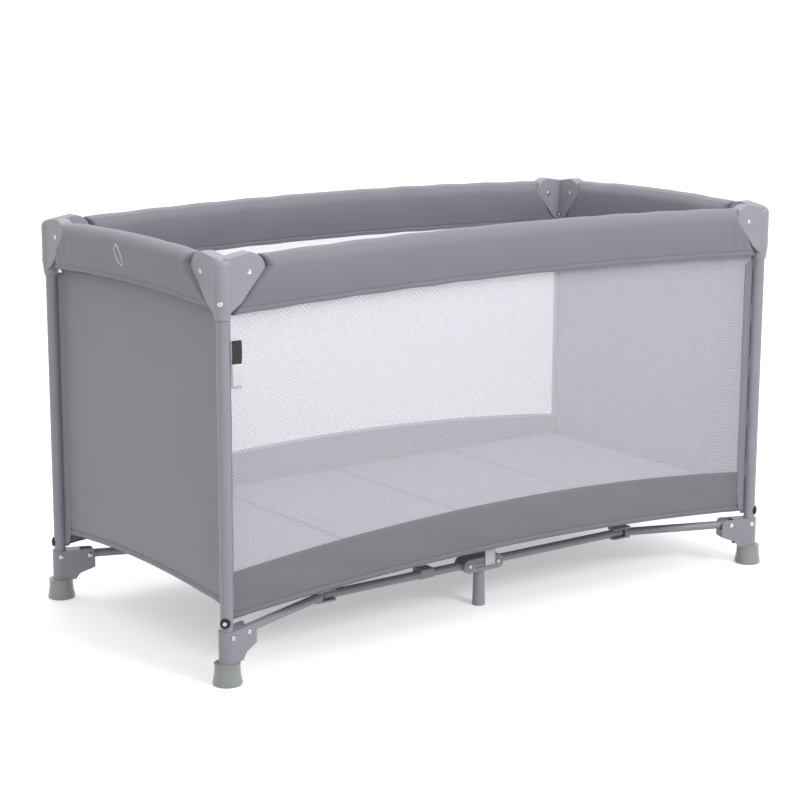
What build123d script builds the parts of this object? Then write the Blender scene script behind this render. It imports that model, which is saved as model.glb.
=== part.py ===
from build123d import *
import os
from math import atan2, cos, degrees, radians, sin

os.makedirs("parts", exist_ok=True)

# Folding travel cot. Millimetres, origin on the floor under the middle of the frame,
# +X along the long side, +Y from the front long side to the back one, +Z up.
# Everything at a corner is modelled once, at the front left, and mirrored to the others.

# Driving dimensions: frame
LEG_SPAN_X = 1256.0  # between leg axes along the long side
LEG_SPAN_Y = 610.0  # between leg axes along the end
LEG_D = 22.0
LEG_WALL = 1.2
LEG_BOTTOM = 12.0  # the tube stands on the floor of the foot's socket
LEG_TOP = 730.0
RAIL_Z = 709.0  # axis of the top rails and their hinge pins
RAIL_D = 19.0
RAIL_WALL = 1.5
PIN_D = 6.0

# Driving dimensions: corner cap
CAP_BOSS_D = 32.0
CAP_NECK_D = 26.0
CAP_NECK_Z = 632.0
CAP_SHOULDER_Z = 655.0
CAP_TOP = 735.0
EAR_PIN_X = 46.0  # leg axis to the rail's hinge pin
EAR_LOBE_R = 33.0
EAR_TIP_R = 9.0
CAP_BOSS_DOME = 12.0
EAR_PLATE = 3.0
EAR_ROUND = 2.6
EAR_ROOT_RISE = 8.0  # the ear starts this far above the neck's lower end
EAR_ROOT_X = 6.0
EAR_TIP_IN = 4.0  # the lower side leaves the lobe this far inside its reach
EAR_HEEL_RISE = 5.0
CAP_RIVET_Z = 660.0

# Driving dimensions: latch in the middle of each top rail
LATCH_PIN_SHORT = 56.0  # middle of the latch to its hinge pins, end rails
LATCH_W = 27.0
LATCH_H = 26.0
LATCH_END = 18.0  # housing beyond each pin
LATCH_FLOOR = 3.0
BUTTON_L = 28.0
BUTTON_W = 14.0
BUTTON_H = 8.0
BUTTON_TRAVEL = 5.0
BUTTON_PROUD = 2.5

# Driving dimensions: feet and base
FOOT_D = 52.0
FOOT_TOP_D = 46.0
FOOT_H = 38.0
FOOT_ROUND = 2.0
FOOT_RIM = 6.0  # height of the straight rim at the floor
BRACKET_PLATE = 2.5
BRACKET_TOP = 95.0
BRACKET_TOE_Z = 60.0  # lowest point of the wing's outer end
BRACKET_KNEE_X = 19.0  # the wing's underside bends this far in from its outer end
BRACKET_KNEE_Z = 53.0
BRACKET_HEEL = 28.0  # reach of the blade where it meets the foot
BRACKET_CORNER = 8.0
BRACKET_END = 7.0  # blade beyond the base tube's end
FOOT_PIN_X = 47.0  # leg axis to the base arm's hinge pin, measured along X
ARM_GAP = 24.2  # between the bracket's plates: the arm leans as it folds
BASE_Z = 84.0  # axis of the base tubes
BASE_D = 16.0
BASE_WALL = 1.2
BASE_INSET = 100.0  # leg axis to base tube axis, across the cot
ELBOW_X = 360.0
ELBOW_L = 46.0
ELBOW_W = 22.0
ELBOW_PLATE = 3.0
ELBOW_PIN_D = 7.0
HUB_PIN_X = 34.0
HUB_END = 13.5
HUB_W = 32.0
HUB_H = 27.0
HUB_RIVET_H = 1.6
HUB_GROOVE_W = 3.0
HUB_GROOVE_Z = 4.0  # the grooves lie this far above and below the tube's axis
CENTRE_LEG_TOP_D = 21.0
CENTRE_LEG_FOOT_D = 25.0
CENTRE_SPIGOT_D = 14.0
CENTRE_SPIGOT_L = 9.0
CENTRE_LEG_BORE = 12.0
STRAP_W = 24.0
STRAP_T = 1.6
STRAP_X = 13.5  # middle of the pull strap
STRAP_RISE = 14.0
STRAP_DROP = 4.0  # its sewn ends hang this far below the tube's axis
STRAP_ROUND = 9.0
CLIP_X = 130.0
CLIP_L = 30.0
CLIP_BACK = 18.0  # reach behind the tube's axis

# Driving dimensions: fabric
SLEEVE_T = 46.0
SLEEVE_EDGE_T = 18.0
SLEEVE_TOP = 733.0
SLEEVE_DEEP_LONG = 96.0
SLEEVE_DEEP_END = 88.0
SLEEVE_EAR_GAP = 1.5
SLEEVE_HEM_H = 8.0
SLEEVE_HEM_ROUND = 3.0
SLEEVE_END_GAP = 10.0  # cap boss to the sleeve's lower end
SLEEVE_RISE_LONG = 15.0
SLEEVE_RISE_END = 11.0
WALL_T = 2.0
WALL_SEAM = 1.0  # below the sleeve's lower edge
WALL_INSET = 15.0
WALL_LOW_LONG = 108.0
WALL_LOW_END = 128.0
WALL_ARCH_LONG = 29.0
WALL_ARCH_END = 15.0
FLOOR_Z = 143.0
FLOOR_T = 3.0
MATTRESS_X = 1180.0
MATTRESS_Y = 556.0
MATTRESS_T = 28.0
MATTRESS_ROUND = 8.0
MATTRESS_GROOVE = 4.0
MATTRESS_HINGE = 7.0  # cover left whole over each fold line

# Driving dimensions: fasteners
RIVET_HEAD_D = 10.0
RIVET_HEAD_H = 2.0
RIVET_D = 5.0
WASHER_D = 18.0
WASHER_T = 3.0
WASHER_Z = 111.0
SCREW_HEAD_D = 7.5
SCREW_HEAD_H = 2.4
SCREW_REACH = 5.0

# Clearances
PIN_PLAY = 0.08  # radial, running fit of a tube on its pin
SEAT = 0.05  # radial, a rivet or tube held fast in its hole
SIDE_PLAY = 0.5  # a rail between its two plates
END_PLAY = 0.8  # round a tube's end
CLOTH_GAP = 0.3
SLIDE_PLAY = 0.3

# Derived sizes
LEG_X = LEG_SPAN_X / 2
LEG_Y = LEG_SPAN_Y / 2
EAR_T = RAIL_D + 2 * SIDE_PLAY + 2 * EAR_PLATE
EAR_REACH = EAR_PIN_X + EAR_LOBE_R
# The top and base linkages fold the same distance only if these four agree.
LATCH_PIN_LONG = FOOT_PIN_X + HUB_PIN_X - EAR_PIN_X
BASE_Y = LEG_Y - BASE_INSET
ARM_ANGLE = degrees(atan2(BASE_INSET, LEG_X - ELBOW_X))
FOOT_PIN_Y = FOOT_PIN_X * BASE_INSET / (LEG_X - ELBOW_X)
FOOT_PIN_REACH = (FOOT_PIN_X**2 + FOOT_PIN_Y**2) ** 0.5
BRACKET_T = ARM_GAP + 2 * BRACKET_PLATE
BRACKET_REACH = FOOT_PIN_REACH + BASE_D / 2 + BRACKET_END


ACROSS = (0, 1, 0)  # a pin that lies across the long side
UPRIGHT = (0, 0, 1)


def box(x0, x1, y0, y1, z0, z1):
    """A box between two values on each axis."""
    middle = Pos((x0 + x1) / 2, (y0 + y1) / 2, (z0 + z1) / 2)
    return middle * Box(x1 - x0, y1 - y0, z1 - z0)


def rod(start, end, diameter):
    """A round bar from one point to another."""
    line = Vector(*end) - Vector(*start)
    return extrude(Plane(start, z_dir=line) * Circle(diameter / 2), line.length)


def to_corner(shape, side_x, side_y):
    """Mirror a front left shape to the corner with these signs of x and y."""
    if side_x > 0:
        shape = mirror(shape, about=Plane.YZ)
    if side_y > 0:
        shape = mirror(shape, about=Plane.XZ)
    return shape


def at_leg(shape):
    """Move a shape from the origin to the front left leg."""
    return Pos(-LEG_X, -LEG_Y, 0) * shape


def rivet(grip, diameter, head_d=RIVET_HEAD_D, head_h=RIVET_HEAD_H):
    """A rivet along Z, centred, with a low domed head beyond each end of its grip."""
    head = Cylinder(head_d / 2, head_h)
    head = fillet(head.edges().sort_by(Axis.Z)[-1], head_h * 0.8)
    head = Pos(Z=grip / 2 + head_h / 2) * head
    return Cylinder(diameter / 2, grip) + head + mirror(head, about=Plane.XY)


def tube(start, end, diameter, wall, start_pin, end_pin):
    """A tube between two pins, its open ends cut round about them, given the pins' axes."""
    along = (Vector(*end) - Vector(*start)).normalized() * diameter
    first, last = Vector(*start) - along, Vector(*end) + along
    ring = rod(first, last, diameter) - rod(first, last, diameter - 2 * wall)
    keep = rod(start, end, 3 * diameter)
    for point, pin in ((start, start_pin), (end, end_pin)):
        half = Vector(*pin) * diameter
        keep += rod(Vector(*point) - half, Vector(*point) + half, diameter)
    return ring & keep


# Legs


def leg_tube():
    """Upright steel tube, drilled for the cap rivet, the bracket rivet and the screw."""
    height = LEG_TOP - LEG_BOTTOM
    leg = Pos(Z=LEG_BOTTOM + height / 2) * (
        Cylinder(LEG_D / 2, height) - Cylinder(LEG_D / 2 - LEG_WALL, height)
    )
    hole = Cylinder(RIVET_D / 2 + SEAT, 2 * LEG_D)
    leg -= Pos(Z=CAP_RIVET_Z) * Rot(Z=45) * Rot(Y=90) * hole
    leg -= Pos(Z=BASE_Z) * Rot(Z=ARM_ANGLE) * Rot(X=90) * hole
    leg -= Pos(Z=WASHER_Z) * rod((0, 0, 0), (-LEG_D, -LEG_D, 0), RIVET_D + 2 * SEAT)
    return at_leg(leg)


# Corner caps


def ear_outline(margin=0.0):
    """Side outline of an ear: a round lobe whose lower side runs straight to the neck."""
    lobe = Pos(EAR_PIN_X, RAIL_Z) * Circle(EAR_LOBE_R)
    low = CAP_NECK_Z + EAR_ROOT_RISE
    root_h = CAP_TOP - low
    root = Pos(EAR_ROOT_X / 2, low + root_h / 2) * Rectangle(EAR_ROOT_X, root_h)
    outline = make_hull(lobe.edges() + root.edges())
    tip = Vector(EAR_REACH - EAR_TIP_IN, RAIL_Z)
    heel = Vector(CAP_NECK_D / 2, CAP_NECK_Z + EAR_HEEL_RISE)
    run = (tip - heel) * 1.5
    under = Polyline(heel - run, tip + run, tip + run - Vector(0, CAP_TOP), heel - run, close=True)
    outline -= make_face(under)
    corner = outline.vertices().sort_by(Axis.X)[-1]
    outline = fillet(corner, EAR_TIP_R)
    return offset(outline, margin) if margin else outline


def cap_ear():
    """One ear along +X from the leg axis: a lobed fork, open below and at its end."""
    ear = extrude(Plane.XZ * ear_outline(), EAR_T / 2, both=True)
    ear = fillet(ear.edges().filter_by(Axis.Y, reverse=True), EAR_ROUND)
    clear = RAIL_D / 2 + END_PLAY
    gap = RAIL_D / 2 + SIDE_PLAY
    far = EAR_REACH + 1
    low = CAP_NECK_Z
    slot = Pos(EAR_PIN_X, 0, RAIL_Z) * Rot(X=90) * Cylinder(clear, 2 * gap)
    slot += box(EAR_PIN_X - clear, far, -gap, gap, low, RAIL_Z)
    slot += box(EAR_PIN_X, far, -gap, gap, low, RAIL_Z + clear)
    hole = Pos(EAR_PIN_X, 0, RAIL_Z) * Rot(X=90) * Cylinder(PIN_D / 2 + SEAT, 2 * EAR_T)
    return ear - slot - hole


def corner_cap():
    """Moulded cap on the leg's top, with one ear for each top rail."""
    height = CAP_TOP - CAP_SHOULDER_Z
    boss = Cylinder(CAP_BOSS_D / 2, height)
    boss = Pos(Z=CAP_SHOULDER_Z + height / 2) * fillet(boss.edges().sort_by(Axis.Z)[-1], CAP_BOSS_DOME)
    neck_h = CAP_SHOULDER_Z - CAP_NECK_Z
    neck = Cone(CAP_NECK_D / 2, CAP_BOSS_D / 2, neck_h)
    cap = boss + Pos(Z=CAP_NECK_Z + neck_h / 2) * neck
    cap += cap_ear() + Rot(Z=90) * cap_ear()
    bore_h = LEG_TOP - CAP_NECK_Z
    cap -= Pos(Z=CAP_NECK_Z + bore_h / 2) * Cylinder(LEG_D / 2 + SEAT, bore_h)
    across = Pos(Z=CAP_RIVET_Z) * Rot(Z=45) * Rot(Y=90)
    cap -= across * Cylinder(RIVET_D / 2 + SEAT, 2 * CAP_BOSS_D)
    spot = Cylinder(RIVET_HEAD_D / 2 + SEAT, CAP_BOSS_D)
    for side in (-1, 1):
        cap -= across * Pos(Z=side * (CAP_BOSS_D - 1)) * spot
    return at_leg(cap)


# Feet


def foot():
    """Bell-shaped plastic foot with a socket for the leg."""
    r_low, r_top = FOOT_D / 2, FOOT_TOP_D / 2
    toe = (r_low - FOOT_ROUND, 0)
    waist = ((r_low + 3 * r_top) / 4, (2 * FOOT_RIM + FOOT_H) / 3)
    bell = [
        Line((0, 0), toe),
        RadiusArc(toe, (r_low, FOOT_ROUND), -FOOT_ROUND),
        Line((r_low, FOOT_ROUND), (r_low, FOOT_RIM)),
        ThreePointArc((r_low, FOOT_RIM), waist, (r_top, FOOT_H)),
        Line((r_top, FOOT_H), (0, FOOT_H)),
        Line((0, FOOT_H), (0, 0)),
    ]
    body = revolve(Plane.XZ * make_face(bell), Axis.Z)
    depth = FOOT_H - LEG_BOTTOM
    body -= Pos(Z=LEG_BOTTOM + depth / 2) * Cylinder(LEG_D / 2 + SEAT, depth)
    return at_leg(body)


def foot_bracket():
    """Moulded bracket on the leg, with a forked wing that points along the base arm."""
    reach, half = BRACKET_REACH, BRACKET_T / 2
    knee = (reach - BRACKET_KNEE_X, BRACKET_KNEE_Z)
    under = ((2 * BRACKET_HEEL + knee[0]) / 3, (FOOT_H + knee[1]) / 2 + 1.5)
    wing = [
        Line((0, FOOT_H), (0, BRACKET_TOP)),
        Line((0, BRACKET_TOP), (reach - BRACKET_CORNER, BRACKET_TOP)),
        RadiusArc((reach - BRACKET_CORNER, BRACKET_TOP), (reach, BRACKET_TOP - BRACKET_CORNER), BRACKET_CORNER),
        Line((reach, BRACKET_TOP - BRACKET_CORNER), (reach, BRACKET_TOE_Z)),
        Line((reach, BRACKET_TOE_Z), knee),
        ThreePointArc(knee, under, (BRACKET_HEEL, FOOT_H)),
        Line((BRACKET_HEEL, FOOT_H), (0, FOOT_H)),
    ]
    body = extrude(Plane.XZ * make_face(wing), half, both=True)
    height = BRACKET_TOP - FOOT_H
    socket = Pos(Z=FOOT_H + height / 2)
    body += socket * Cylinder(half, height)
    clear = BASE_D / 2 + END_PLAY
    lean = radians(ARM_ANGLE)
    heel = BASE_D / 2 * (1 + sin(lean)) / cos(lean) + END_PLAY
    slot_x, gap = FOOT_PIN_REACH - heel, ARM_GAP / 2
    body -= box(slot_x, reach + 1, -gap, gap, BASE_Z - clear, BRACKET_TOP + 1)
    hollow_x = slot_x - BRACKET_PLATE
    body -= box(half + BRACKET_PLATE, hollow_x, -gap, gap, 0, BRACKET_TOP - BRACKET_PLATE)
    body -= socket * Cylinder(LEG_D / 2 + SEAT, height)
    body -= Pos(Z=BASE_Z) * Rot(X=90) * Cylinder(RIVET_D / 2 + SEAT, 2 * BRACKET_T)
    body = Rot(Z=ARM_ANGLE) * body
    pin_at = Pos(FOOT_PIN_X, FOOT_PIN_Y, BASE_Z) * Rot(X=90)
    body -= pin_at * Cylinder(PIN_D / 2 + SEAT, 2 * BRACKET_T)
    return at_leg(body)


# Rivets, hinge pins and the fabric screw of one corner


def foot_pin():
    """Hinge pin across the cot, with heads that lie flat on the leaning plates."""
    angle = radians(ARM_ANGLE)
    lean = BRACKET_T / 2 / cos(angle)
    pin = Rot(X=90) * Cylinder(PIN_D / 2, 2 * lean - 1)
    head = Cylinder(RIVET_HEAD_D / 2, RIVET_HEAD_H)
    head = fillet(head.edges().sort_by(Axis.Z)[-1], RIVET_HEAD_H * 0.8)
    for side in (-1, 1):
        normal = Vector(-side * sin(angle), side * cos(angle), 0)
        face = Plane(Vector(0, side * lean, 0), z_dir=normal)
        pin += face * Pos(Z=RIVET_HEAD_H / 2) * head
    return Pos(FOOT_PIN_X, FOOT_PIN_Y, BASE_Z) * pin


def corner_hardware():
    """The corner's rivets and pins, and the washer and screw that hold the wall."""
    ear_pin = Pos(EAR_PIN_X, 0, RAIL_Z) * Rot(X=90) * rivet(EAR_T, PIN_D)
    pieces = [ear_pin, mirror(ear_pin, about=Plane((0, 0, 0), z_dir=(1, -1, 0)))]
    boss_grip = CAP_BOSS_D - 2
    across = Pos(Z=CAP_RIVET_Z) * Rot(Z=45) * Rot(Y=90)
    pieces.append(across * rivet(boss_grip, RIVET_D))
    along = Pos(Z=BASE_Z) * Rot(Z=ARM_ANGLE) * Rot(X=90)
    pieces.append(along * rivet(BRACKET_T, RIVET_D))
    pieces.append(foot_pin())
    outward = Plane((0, 0, WASHER_Z), z_dir=(-1, -1, 0))
    washer = Pos(Z=LEG_D / 2) * Cylinder(WASHER_D / 2, 2 * WASHER_T)
    washer -= Cylinder(RIVET_D / 2 + SEAT, 2 * LEG_D)
    leg = Pos(Z=WASHER_Z) * Cylinder(LEG_D / 2 + SEAT, 2 * WASHER_D)
    pieces.append(outward * washer - leg)
    screw_top = LEG_D / 2 + WASHER_T
    shank = Pos(Z=screw_top - (SCREW_REACH + WASHER_T) / 2)
    screw = shank * Cylinder(RIVET_D / 2, SCREW_REACH + WASHER_T)
    head = Cylinder(SCREW_HEAD_D / 2, SCREW_HEAD_H)
    head = fillet(head.edges().sort_by(Axis.Z)[-1], SCREW_HEAD_H * 0.6)
    screw += Pos(Z=screw_top + SCREW_HEAD_H / 2) * head
    pieces.append(outward * screw)
    return at_leg(Compound(children=[p.solid() for p in pieces]))


# Top rails and their latches


def half_rail(leg_half_span, latch_pin):
    """Half of a top rail along X, from the left cap's pin to the latch's left pin."""
    cap_pin = (-(leg_half_span - EAR_PIN_X), 0, RAIL_Z)
    middle_pin = (-latch_pin, 0, RAIL_Z)
    rail = tube(cap_pin, middle_pin, RAIL_D, RAIL_WALL, ACROSS, ACROSS)
    for point in (cap_pin, middle_pin):
        rail -= Pos(*point) * Rot(X=90) * Cylinder(PIN_D / 2 + PIN_PLAY, 2 * RAIL_D)
    return rail


def latch_housing(pin_x):
    """Moulded hinge housing along X with its two pins; the forks open upwards."""
    length, low = 2 * (pin_x + LATCH_END), RAIL_Z - RAIL_D / 2 - SIDE_PLAY - LATCH_FLOOR
    body = Pos(0, 0, low + LATCH_H / 2) * Box(length, LATCH_W, LATCH_H)
    body = fillet(body.edges().filter_by(Axis.Y), 5)
    gap, clear = RAIL_D / 2 + SIDE_PLAY, RAIL_D / 2 + END_PLAY
    top = low + LATCH_H + 1
    slot = box(pin_x - clear, length, -gap, gap, low + LATCH_FLOOR, top)
    body -= slot + mirror(slot, about=Plane.YZ)
    pocket_w = BUTTON_W / 2 + SLIDE_PLAY
    pocket_top = low - BUTTON_PROUD + BUTTON_H + BUTTON_TRAVEL + 1
    pocket_l = BUTTON_L / 2 + SLIDE_PLAY
    body -= box(-pocket_l, pocket_l, -pocket_w, pocket_w, low - 1, pocket_top)
    pins = []
    for x in (-pin_x, pin_x):
        place = Pos(x, 0, RAIL_Z) * Rot(X=90)
        body -= place * Cylinder(PIN_D / 2 + SEAT, 2 * LATCH_W)
        pins.append(place * Cylinder(PIN_D / 2, LATCH_W))
    return Compound(children=[p.solid() for p in [body, *pins]])


def latch_button():
    """Release button in the underside of the latch; it is pressed upwards."""
    low = RAIL_Z - RAIL_D / 2 - SIDE_PLAY - LATCH_FLOOR - BUTTON_PROUD
    button = Pos(0, 0, low + BUTTON_H / 2) * Box(BUTTON_L, BUTTON_W, BUTTON_H)
    return fillet(button.edges().filter_by(Axis.Z), 3)


# Base rails


def base_arm():
    """Arm from the foot bracket to the elbow fork, with the fork's upright pin."""
    foot_at = (-LEG_X + FOOT_PIN_X, -LEG_Y + FOOT_PIN_Y, BASE_Z)
    elbow = (-ELBOW_X, -BASE_Y, BASE_Z)
    arm = tube(foot_at, elbow, BASE_D, BASE_WALL, ACROSS, UPRIGHT)
    arm -= Pos(*foot_at) * Rot(X=90) * Cylinder(PIN_D / 2 + PIN_PLAY, 3 * BASE_D)
    half_h = BASE_D / 2 + SEAT + ELBOW_PLATE
    back = ELBOW_L - ELBOW_W
    fork = Pos((ELBOW_W - back) / 2, 0, 0) * Box(ELBOW_L, ELBOW_W, 2 * half_h)
    fork = fillet(fork.edges().filter_by(Axis.Z), 5)
    mouth = BASE_D / 2 + END_PLAY
    slot = box(-mouth, ELBOW_L, -ELBOW_W, ELBOW_W, -BASE_D / 2 - SEAT, BASE_D / 2 + SEAT)
    arm -= Pos(*elbow) * slot
    arm += Pos(*elbow) * (fork - slot + Cylinder(ELBOW_PIN_D / 2, 2 * half_h))
    return arm.solids().sort_by(SortBy.VOLUME)[-1]


def base_tube(with_clip):
    """Straight tube from the elbow's pin to the hub's pin, along the long side."""
    elbow = (-ELBOW_X, -BASE_Y, BASE_Z)
    hub = (-HUB_PIN_X, -BASE_Y, BASE_Z)
    body = tube(elbow, hub, BASE_D, BASE_WALL, UPRIGHT, ACROSS)
    if with_clip:
        half = BASE_D / 2
        clip = box(-CLIP_L / 2, CLIP_L / 2, -half, CLIP_BACK, -half, half + 3)
        clip = fillet(clip.edges().filter_by(Axis.X), 3)
        clip += box(-CLIP_L, 0, half, CLIP_BACK, -2, 2)
        clip -= Rot(Y=90) * Cylinder(half - BASE_WALL / 2, 3 * CLIP_L)
        body += Pos(-CLIP_X, -BASE_Y, BASE_Z) * clip
    body -= Pos(*elbow) * Cylinder(ELBOW_PIN_D / 2 + PIN_PLAY, 2 * BASE_D)
    body -= Pos(*hub) * Rot(X=90) * Cylinder(PIN_D / 2 + PIN_PLAY, 2 * BASE_D)
    return body


def hub():
    """Middle fork of a base rail with its two rivets; the forks open downwards."""
    length = 2 * (HUB_PIN_X + HUB_END)
    body = Box(length, HUB_W, HUB_H)
    body = fillet(body.edges().filter_by(Axis.Y), HUB_H / 2 - 1)
    gap, clear = BASE_D / 2 + SIDE_PLAY, BASE_D / 2 + END_PLAY
    slot = box(HUB_PIN_X - clear, length, -gap, gap, -HUB_H, clear)
    body -= slot + mirror(slot, about=Plane.YZ)
    groove_x = HUB_PIN_X - clear - HUB_GROOVE_Z
    for z in (-HUB_GROOVE_Z, HUB_GROOVE_Z):
        for y in (-HUB_W / 2, HUB_W / 2):
            body -= Pos(0, y, z) * Box(2 * groove_x, HUB_GROOVE_W, HUB_GROOVE_W)
    spigot_hole = Pos(Z=-HUB_H / 2) * Cylinder(CENTRE_SPIGOT_D / 2 + SEAT, 2 * CENTRE_SPIGOT_L + 1)
    body -= spigot_hole
    rivets = []
    for x in (-HUB_PIN_X, HUB_PIN_X):
        pin_at = Pos(x, 0, 0) * Rot(X=90)
        body -= pin_at * Cylinder(PIN_D / 2 + SEAT, 2 * HUB_W)
        rivets.append(pin_at * rivet(HUB_W, PIN_D, head_h=HUB_RIVET_H))
    whole = Compound(children=[p.solid() for p in [body, *rivets]])
    return Pos(0, -BASE_Y, BASE_Z) * whole


def centre_leg():
    """Hollow round leg under the hub, a little wider at the floor."""
    height = BASE_Z - HUB_H / 2
    leg = Cone(CENTRE_LEG_FOOT_D / 2, CENTRE_LEG_TOP_D / 2, height)
    leg = Pos(Z=height / 2) * leg
    leg += Pos(Z=height + CENTRE_SPIGOT_L / 2) * Cylinder(CENTRE_SPIGOT_D / 2, CENTRE_SPIGOT_L)
    leg -= Pos(Z=height / 4) * Cylinder(CENTRE_LEG_BORE / 2, height / 2)
    return Pos(0, -BASE_Y, 0) * leg


def hub_strap():
    """Webbing pull loop laid over the hub, with its ends down the hub's two sides."""
    inner = HUB_W / 2 + CLOTH_GAP
    outer = inner + STRAP_T
    low, top = -STRAP_DROP, HUB_H / 2 + STRAP_RISE
    x0, x1 = STRAP_X - STRAP_W / 2, STRAP_X + STRAP_W / 2
    arch = box(x0, x1, -outer, outer, low, top)
    arch = fillet(arch.edges().filter_by(Axis.X).group_by(Axis.Z)[-1], STRAP_ROUND)
    hollow = box(x0 - 1, x1 + 1, -inner, inner, low - 1, top - STRAP_T)
    hollow = fillet(hollow.edges().filter_by(Axis.X).group_by(Axis.Z)[-1], STRAP_ROUND - STRAP_T)
    return Pos(0, -BASE_Y, BASE_Z) * (arch - hollow)


# Fabric


def sleeve(leg_half_span, deep, rise):
    """Padded cover of a top rail along X: a drop-shaped tube that arches up."""
    half = leg_half_span - CAP_BOSS_D / 2 - SLEEVE_END_GAP
    roll = SLEEVE_T / 2
    centre_z = SLEEVE_TOP - roll
    top = Pos(0, centre_z) * Circle(roll)
    foot_z = SLEEVE_TOP - deep + SLEEVE_HEM_H / 2
    edge = Pos(0, foot_z) * RectangleRounded(SLEEVE_EDGE_T, SLEEVE_HEM_H, SLEEVE_HEM_ROUND)
    outline = make_hull(top.edges() + edge.edges())
    ends = half + SLEEVE_END_GAP / 2
    path = ThreePointArc((-ends, 0, 0), (0, 0, rise), (ends, 0, 0))
    section = Plane((-ends, 0, 0), x_dir=(0, 1, 0), z_dir=path.tangent_at(0)) * outline
    body = sweep(section, path=path)
    body &= box(-half, half, -SLEEVE_T, SLEEVE_T, 0, 2 * SLEEVE_TOP)
    room = LATCH_W / 2 + 1
    low = RAIL_Z - RAIL_D / 2 - SIDE_PLAY - LATCH_FLOOR - BUTTON_PROUD - CLOTH_GAP
    high = low + BUTTON_PROUD + LATCH_H + 2 * CLOTH_GAP
    body -= box(-ends, ends, -room, room, low, high)
    ear = extrude(Plane.XZ * ear_outline(SLEEVE_EAR_GAP), SLEEVE_T, both=True)
    ear = Pos(-leg_half_span, 0, 0) * ear
    return body - ear - mirror(ear, about=Plane.YZ)


def wall(half, low, low_arch, high, high_arch):
    """Fabric wall in the XZ plane at y = 0, arched at its lower and upper edges."""
    outline = [
        ThreePointArc((-half, low), (0, low + low_arch), (half, low)),
        Line((half, low), (half, high)),
        ThreePointArc((half, high), (0, high + high_arch), (-half, high)),
        Line((-half, high), (-half, low)),
    ]
    return extrude(Plane.XZ * make_face(outline), WALL_T / 2, both=True)


def floor_cloth():
    """Cloth floor between the four walls."""
    x = LEG_X - WALL_INSET - WALL_T / 2 - CLOTH_GAP
    y = LEG_Y - WALL_INSET - WALL_T / 2 - CLOTH_GAP
    return box(-x, x, -y, y, FLOOR_Z, FLOOR_Z + FLOOR_T)


def mattress():
    """Four stiff padded panels in one cover, folding at three lines."""
    low = FLOOR_Z + FLOOR_T + CLOTH_GAP
    pad = Pos(0, 0, low + MATTRESS_T / 2) * Box(MATTRESS_X, MATTRESS_Y, MATTRESS_T)
    pad = fillet(pad.edges(), MATTRESS_ROUND)
    deep = MATTRESS_T - MATTRESS_HINGE
    for quarter in (-1, 0, 1):
        middle = quarter * MATTRESS_X / 4
        x0, x1 = middle - MATTRESS_GROOVE / 2, middle + MATTRESS_GROOVE / 2
        pad -= box(x0, x1, -MATTRESS_Y, MATTRESS_Y, low - 1, low + deep)
    return pad


# Assembly: one file for each node

nodes = {}
corners = {"fl": (-1, -1), "fr": (1, -1), "br": (1, 1), "bl": (-1, 1)}
corner_pieces = {
    "leg_tube": leg_tube(),
    "corner_cap": corner_cap(),
    "foot_bracket": foot_bracket(),
    "foot": foot(),
    "corner_hardware": corner_hardware(),
    "base_arm": base_arm(),
}
for corner, (side_x, side_y) in corners.items():
    for name, piece in corner_pieces.items():
        nodes[f"{name}_{corner}"] = to_corner(piece, side_x, side_y)
    has_clip = corner in ("fl", "br")
    nodes[f"base_tube_{corner}"] = to_corner(base_tube(has_clip), side_x, side_y)

long_rail = Pos(0, -LEG_Y, 0) * half_rail(LEG_X, LATCH_PIN_LONG)
long_latch = Pos(0, -LEG_Y, 0) * latch_housing(LATCH_PIN_LONG)
long_button = Pos(0, -LEG_Y, 0) * latch_button()
long_sleeve = Pos(0, -LEG_Y, 0) * sleeve(LEG_X, SLEEVE_DEEP_LONG, SLEEVE_RISE_LONG)
long_high = SLEEVE_TOP - SLEEVE_DEEP_LONG - WALL_SEAM
long_half = LEG_X - WALL_INSET + WALL_T / 2
long_wall = wall(long_half, WALL_LOW_LONG, WALL_ARCH_LONG, long_high, SLEEVE_RISE_LONG - WALL_SEAM)
long_wall = Pos(0, -LEG_Y + WALL_INSET, 0) * long_wall
for side, side_y in {"front": -1, "back": 1}.items():
    nodes[f"rail_{side}_left"] = to_corner(long_rail, -1, side_y)
    nodes[f"rail_{side}_right"] = to_corner(long_rail, 1, side_y)
    nodes[f"latch_{side}"] = to_corner(long_latch, -1, side_y)
    nodes[f"latch_button_{side}"] = to_corner(long_button, -1, side_y)
    nodes[f"sleeve_{side}"] = to_corner(long_sleeve, -1, side_y)
    nodes[f"wall_{side}"] = to_corner(long_wall, -1, side_y)
    nodes[f"hub_{side}"] = to_corner(hub(), -1, side_y)
    nodes[f"centre_leg_{side}"] = to_corner(centre_leg(), -1, side_y)
    nodes[f"hub_strap_{side}"] = to_corner(hub_strap(), side_y, side_y)

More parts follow.
